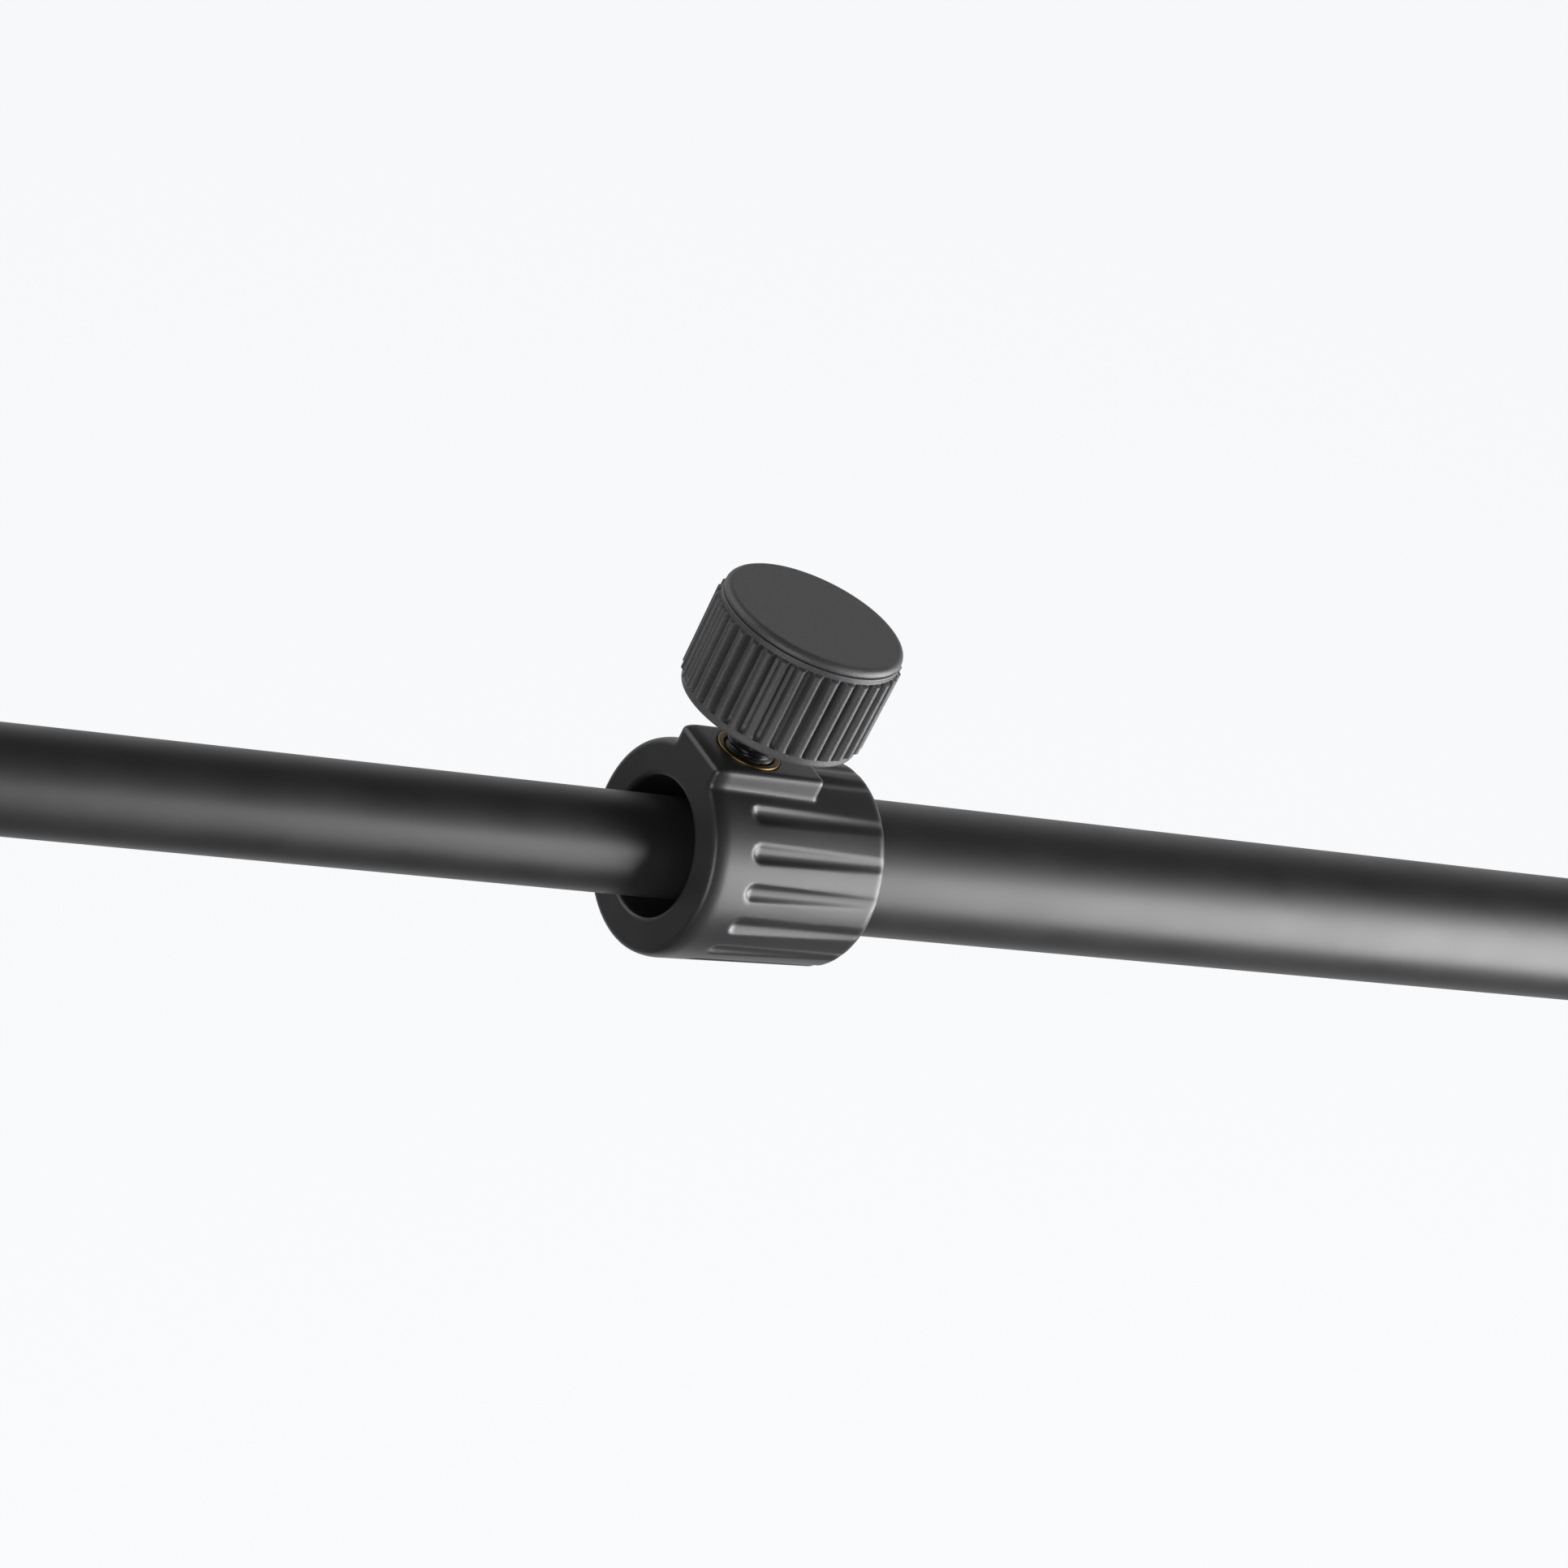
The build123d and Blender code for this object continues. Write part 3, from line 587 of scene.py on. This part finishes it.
def base():
    """Leg rings with their sockets and screws, nylon washers between them, the stop and the feet."""
    screw_out, screw_up, stop_screw_out, washer_r, washer_half = 41.0, 16.0, 23.4, 22.5, 0.9
    heights = []
    for number, body in ((1, "column"), (2, "leg_2"), (3, "leg_3")):
        low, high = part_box(f"leg_ring_{number}")
        height = (low.z + high.z) / 2
        heights.append(height)
        foot_low, foot_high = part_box(f"leg_foot_{number}")
        foot = (foot_low + foot_high) / 2
        out = Vector((foot.x, foot.y, 0)).normalized()
        ring = Place((0, 0, height), out, (0, 0, 1))
        moulded(f"leg_ring_{number}", ring, ring_field(), (-25.5, -25.5, -19.5), (53.5, 25.5, 19.5), COARSE,
                "tube_paint")
        field = socket_screw_field(5.2, 2.4, 3.0, 2.0, 2.0)
        points, faces = isosurface(field, (-6, -6, -3), (6, 6, 3.4), 0.25)
        new_piece(f"leg_screw_{number}", points, faces, ring.moved(s=screw_out, k=screw_up),
                  MATERIALS["screw_steel"], body=body)
        rubber_foot(f"leg_foot_{number}", Place((foot.x, foot.y, 0), out, (0, 0, 1)))

    column_r = BORES["column"] + 0.15
    corners = [(washer_r, -washer_half, 0.4), (washer_r, washer_half, 0.4), (column_r, washer_half, 0.3),
               (column_r, -washer_half, 0.3)]
    for number, (below, above) in enumerate(zip(heights, heights[1:]), start=1):
        place = Place((0, 0, (below + above) / 2), (1, 0, 0), (0, 0, 1))
        points, faces = turned(outline_of(corners, closed=True), 128)
        new_piece(f"ring_washer_{number}", points, faces, place, MATERIALS["guide_nylon"], body="column")

    low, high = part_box("ring_stop")
    height = (high.z - low.z) / MM
    stop = Place((0, 0, low.z), (0, -1, 0), (0, 0, 1))
    moulded("ring_stop", stop, stop_field(height), (-25.5, -25.5, -1), (25.5, 25.5, height + 1), COARSE,
            "tube_paint")
    screw = Place((0, -stop_screw_out * MM, low.z + height / 2 * MM), (1, 0, 0), (0, -1, 0))
    points, faces = isosurface(socket_screw_field(3.1, 3.0, 2.8, 2.0, 1.5), (-4, -4, -3), (4, 4, 1), 0.2)
    new_piece("stop_screw", points, faces, screw.moved(k=-3.0), MATERIALS["screw_steel"], body="column")


def rubber_foot(node, place):
    """Rubber cup with grooves round its side, a flexible lip and a treaded sole."""
    high = place.span(node)[1]
    base_r, top_r, leg_r, floor = 17.0, 15.0, 12.55, 8.0
    sole = [(0, 0.8, 0), (4, 0.8, 0.3), (4.4, 0, 0.3), (7.2, 0, 0.3), (7.6, 0.8, 0.3), (9.4, 0.8, 0.3),
            (9.8, 0, 0.3), (12.6, 0, 0.3), (13, 0.8, 0.3), (14.2, 0.8, 0.3), (14.6, 0, 0.3)]
    grooves = []
    for height in (11, 15, 19, 23, 27):
        r = base_r + (top_r - base_r) * (height - 7) / (high - 8)
        grooves += [(r, height - 0.9, 0.35), (r - 0.7, height - 0.4, 0.25), (r - 0.7, height + 0.4, 0.25),
                    (r, height + 0.9, 0.35)]
    corners = [
        *sole,
        (base_r, 0, 0.9),
        (base_r, 7, 1.5),
        *grooves,
        (top_r, high, 1.0),
        (leg_r, high, 0.6),
        (leg_r, floor, 0),
        (0, floor, 0),
    ]
    turned_piece(node, place, corners, MATERIALS["foot_rubber"], 96)


def tube_ends():
    """Caps on the column's foot and the arm's tail, the spigot, and the boom's threaded tip."""
    place = tube_place("column")
    low, high = place.span("column_foot_cap")
    inside, outside = BORES["column"] - 1.55, BORES["column"] + 4
    foot_cap = [(0, low + 1, 0), (8, low + 1, 0.5), (9, low, 0.5), (outside, low, 2.5),
                (outside, low + 8, 0.8), (inside, low + 8, 0), (inside, high, 0.8), (0, high, 0)]
    turned_piece("column_foot_cap", place, foot_cap, MATERIALS["collar_plastic"])

    place = tube_place("arm")
    low, high = place.span("arm_rear_cap")
    inside, outside = BORES["arm"] - 1.55, BORES["arm"]
    rear_cap = [(0, low + 0.5, 0), (5.5, low + 0.5, 0.3), (6, low, 0.3), (outside, low, 1.6),
                (outside, low + 2.9, 0.25), (inside, low + 3, 0), (inside, high, 0.8), (0, high, 0)]
    turned_piece("arm_rear_cap", place, rear_cap, MATERIALS["collar_plastic"])

    place = tube_place("riser")
    low, high = place.span("spigot")
    shoulder, pin_r, waist = high - 42, 8.0, high - 21
    tube_r = tube_radius("riser_2_tube")
    pin = [
        (0, low, 0),
        (tube_r - 1.55, low, 0.5),
        (tube_r - 1.55, shoulder - 4, 0),
        (tube_r, shoulder - 4, 0.3),
        (tube_r, shoulder, 0.6),
        (pin_r, shoulder, 0.4),
        (pin_r, waist - 9, 0.4),
        (pin_r - 1, waist - 7, 0.4),
        (pin_r - 1, waist + 7, 0.4),
        (pin_r, waist + 9, 0.4),
        (pin_r, high, 1.0),
        (0, high, 0),
    ]
    turned_piece("spigot", place, pin, MATERIALS["screw_steel"])

    place = tube_place("arm")
    low, high = place.span("boom_tip")
    tube_r, stud_r = tube_radius("boom_tube"), 4.76
    flange = high - 25
    tip = [
        (0, low, 0),
        (tube_r - 1.55, low, 0.5),
        (tube_r - 1.55, flange, 0),
        (tube_r + 1, flange, 0.5),
        (tube_r + 1, flange + 8, 1.0),
        (stud_r, flange + 8, 0),
        *threaded_corners(stud_r, flange + 8.3, high - 1, 0.2),
        (stud_r, high - 1, 0),
        (stud_r - 1, high, 0.2),
        (0, high, 0),
    ]
    turned_piece("boom_tip", place, tip, MATERIALS["screw_steel"], 64,
                 radius=thread(stud_r, flange + 8.5, high + 1, pitch=1.5875, depth=0.8))


# ---- materials ------------------------------------------------------------------------------------
def material(name, tint, spread, roughness, grain, bump, metallic=0.0, specular=0.5):
    """Finish with a mottled colour, an uneven gloss and a fine grain, all in the object's own space.
    grain is the size of the surface's texture in mm, bump its height in mm."""
    made = bpy.data.materials.new(name)
    made.use_nodes = True
    nodes, links = made.node_tree.nodes, made.node_tree.links
    shader = nodes["Principled BSDF"]
    shader.inputs["Metallic"].default_value = metallic
    shader.inputs["Specular IOR Level"].default_value = specular
    place = nodes.new("ShaderNodeTexCoord")

    def noise(size, detail):
        node = nodes.new("ShaderNodeTexNoise")
        node.inputs["Scale"].default_value = 1 / (size * MM)
        node.inputs["Detail"].default_value = detail
        links.new(place.outputs["Object"], node.inputs["Vector"])
        return node.outputs["Fac"]

    fine, broad = noise(grain, 3), noise(35 * grain + 6, 4)
    tones = nodes.new("ShaderNodeValToRGB")
    tones.color_ramp.elements[0].position, tones.color_ramp.elements[1].position = 0.3, 0.7
    tones.color_ramp.elements[0].color = (*[c * (1 - spread) for c in tint], 1)
    tones.color_ramp.elements[1].color = (*[c * (1 + spread) for c in tint], 1)
    mottle = nodes.new("ShaderNodeMix")
    mottle.inputs["Factor"].default_value = 0.5
    links.new(broad, mottle.inputs["A"])
    links.new(fine, mottle.inputs["B"])
    links.new(mottle.outputs["Result"], tones.inputs["Fac"])
    links.new(tones.outputs["Color"], shader.inputs["Base Color"])

    gloss = nodes.new("ShaderNodeMapRange")
    gloss.inputs["From Min"].default_value, gloss.inputs["From Max"].default_value = 0.3, 0.7
    gloss.inputs["To Min"].default_value, gloss.inputs["To Max"].default_value = roughness
    links.new(broad, gloss.inputs["Value"])
    links.new(gloss.outputs["Result"], shader.inputs["Roughness"])

    relief = nodes.new("ShaderNodeBump")
    relief.inputs["Distance"].default_value = bump * MM
    links.new(fine, relief.inputs["Height"])
    links.new(relief.outputs["Normal"], shader.inputs["Normal"])
    return made


MATERIALS = {
    "tube_paint": material("powder_coat_black", (0.012, 0.012, 0.0125), 0.25, (0.4, 0.46), 0.22, 0.006),
    "collar_plastic": material("moulded_plastic_black", (0.016, 0.016, 0.017), 0.2, (0.34, 0.42), 0.3,
                               0.008),
    "knob_plastic": material("textured_plastic_grey", (0.046, 0.046, 0.048), 0.5, (0.44, 0.54), 0.24, 0.05),
    # stud darker than the zinc-plated screw steel: black steel, its dark tone partly painted shade for the
    # gap under the knob
    "stud_black_and_shade": material("black_steel_and_painted_shade", (0.035, 0.035, 0.036), 0.2, (0.36, 0.48), 0.2, 0.006,
                           metallic=1.0),
    "guide_nylon": material("nylon_black", (0.02, 0.02, 0.021), 0.15, (0.4, 0.5), 0.4, 0.006),
    # brass tint darkened far below real brass: painted shade for the inserts' rims, which sit under the
    # knobs
    "insert_brass": material("brass_darkened_as_shade", (0.13, 0.09, 0.04), 0.25, (0.34, 0.46), 0.15, 0.004,
                             metallic=1.0),
    "screw_steel": material("zinc_plated_steel", (0.5, 0.5, 0.52), 0.1, (0.24, 0.36), 0.2, 0.004,
                            metallic=1.0),
    "foot_rubber": material("rubber_black", (0.018, 0.018, 0.018), 0.25, (0.7, 0.82), 0.3, 0.03,
                            specular=0.3),
}


# ---- the stand ------------------------------------------------------------------------------------
for node, slot in SLOTS.items():
    mesh = frame["nodes"][node].data
    mesh.materials.clear()
    mesh.materials.append(MATERIALS[slot])

for clamp, step in (("column", COARSE), ("riser", COARSE), ("arm", FINE)):
    collar(clamp, step)
for prefix in ("column", "riser", "yoke", "arm", "pan"):
    insert(prefix)
    stud(prefix)
    knob(prefix, KNOB_GAP, 16 if prefix == "arm" else 10)
stud("tilt")
knob("tilt", TILT_KNOB_GAP, 10)
for node, clamp in (("column_tube", "column"), ("riser_1_tube", "column"), ("riser_2_tube", "riser"),
                    ("arm_outer_tube", "arm"), ("boom_tube", "arm")):
    tube(node, clamp)
grip_head()
base()
tube_ends()


# ---- floor, light, camera -------------------------------------------------------------------------
def floor():
    mesh = bpy.data.meshes.new("floor")
    half = 14.0
    corners = [(-half, -half, 0), (half, -half, 0), (half, half, 0), (-half, half, 0)]
    mesh.from_pydata(corners, [], [(0, 1, 2, 3)])
    made = bpy.data.materials.new("floor_paper")
    made.use_nodes = True
    shader = made.node_tree.nodes["Principled BSDF"]
    shader.inputs["Base Color"].default_value = (0.06, 0.06, 0.06, 1)
    shader.inputs["Roughness"].default_value = 0.9
    shader.inputs["Specular IOR Level"].default_value = 0.1
    shader.inputs["Emission Color"].default_value = (*BACKDROP, 1)
    shader.inputs["Emission Strength"].default_value = FLOOR_GLOW
    mesh.materials.append(made)
    plane = bpy.data.objects.new("floor", mesh)
    bpy.context.scene.collection.objects.link(plane)
    plane.visible_glossy = False


def soft_light(name, azimuth, elevation, distance, spread, glow):
    """Square soft box facing the arm's collar, seen from there at these angles and over this spread, in
    degrees. Its glow is the brightness of its face. The camera doesn't see it."""
    turn, rise = np.radians(azimuth), np.radians(elevation)
    way = Vector((np.cos(turn) * np.cos(rise), np.sin(turn) * np.cos(rise), np.sin(rise)))
    data = bpy.data.lights.new(name, "AREA")
    data.shape, data.size = "SQUARE", 2 * distance * np.tan(np.radians(spread / 2))
    data.energy = 4 * data.size**2 * glow
    lamp = bpy.data.objects.new(name, data)
    bpy.context.scene.collection.objects.link(lamp)
    lamp.location = COLLARS["arm"].origin + way * distance
    lamp.rotation_euler = way.to_track_quat("Z", "Y").to_euler()
    lamp.visible_camera = False


def surroundings():
    """Backdrop's colour for the camera, and for everything else a dim room, lit up behind the object."""
    world = bpy.data.worlds.new("studio")
    world.use_nodes = True
    nodes, links = world.node_tree.nodes, world.node_tree.links
    nodes.clear()
    seen, room = nodes.new("ShaderNodeBackground"), nodes.new("ShaderNodeBackground")
    seen.inputs["Color"].default_value = (*BACKDROP, 1)
    way, facing = nodes.new("ShaderNodeTexCoord"), nodes.new("ShaderNodeVectorMath")
    facing.operation = "DOT_PRODUCT"
    facing.inputs[1].default_value = Vector(BACK_WALL).normalized()
    lit = nodes.new("ShaderNodeMapRange")
    lit.interpolation_type = "SMOOTHSTEP"
    lit.inputs["From Min"].default_value, lit.inputs["From Max"].default_value = 0.3, 0.85
    lit.inputs["To Min"].default_value, lit.inputs["To Max"].default_value = ROOM_GLOW
    links.new(way.outputs["Generated"], facing.inputs[0])
    links.new(facing.outputs["Value"], lit.inputs["Value"])
    links.new(lit.outputs["Result"], room.inputs["Strength"])
    ray, mix, out = (nodes.new(f"ShaderNode{kind}") for kind in ("LightPath", "MixShader", "OutputWorld"))
    links.new(ray.outputs["Is Camera Ray"], mix.inputs["Fac"])
    links.new(room.outputs["Background"], mix.inputs[1])
    links.new(seen.outputs["Background"], mix.inputs[2])
    links.new(mix.outputs["Shader"], out.inputs["Surface"])
    bpy.context.scene.world = world


def camera():
    """Close view of the arm's collar from in front, the left and above, through a long lens."""
    clamp = COLLARS["arm"]
    axes = Matrix((clamp.s, clamp.w, clamp.k)).transposed()
    back = axes @ Vector(CAMERA_BACK)
    right = axes @ Vector(CAMERA_RIGHT)
    right = (right - back * right.dot(back) / back.length_squared).normalized()
    back.normalize()
    up = back.cross(right)
    data = bpy.data.cameras.new("camera")
    data.lens, data.sensor_width = CAMERA_LENS, 36.0
    data.clip_start, data.clip_end = 0.05, 60.0
    seen_from = bpy.data.objects.new("camera", data)
    bpy.context.scene.collection.objects.link(seen_from)
    spot = clamp.origin + (right * CAMERA_SPOT[0] + up * CAMERA_SPOT[1] + back * CAMERA_SPOT[2]) * MM
    turn = Matrix((right, up, back)).transposed().to_4x4()
    seen_from.matrix_world = Matrix.Translation(spot) @ turn
    bpy.context.scene.camera = seen_from


floor()
surroundings()
soft_light("key", azimuth=-32, elevation=-22, distance=1.5, spread=46, glow=9)
soft_light("fill", azimuth=-137, elevation=24, distance=1.9, spread=40, glow=3.5)
soft_light("back", azimuth=113, elevation=40, distance=2.2, spread=50, glow=1.5)
camera()
bpy.context.scene.view_settings.view_transform = "Standard"
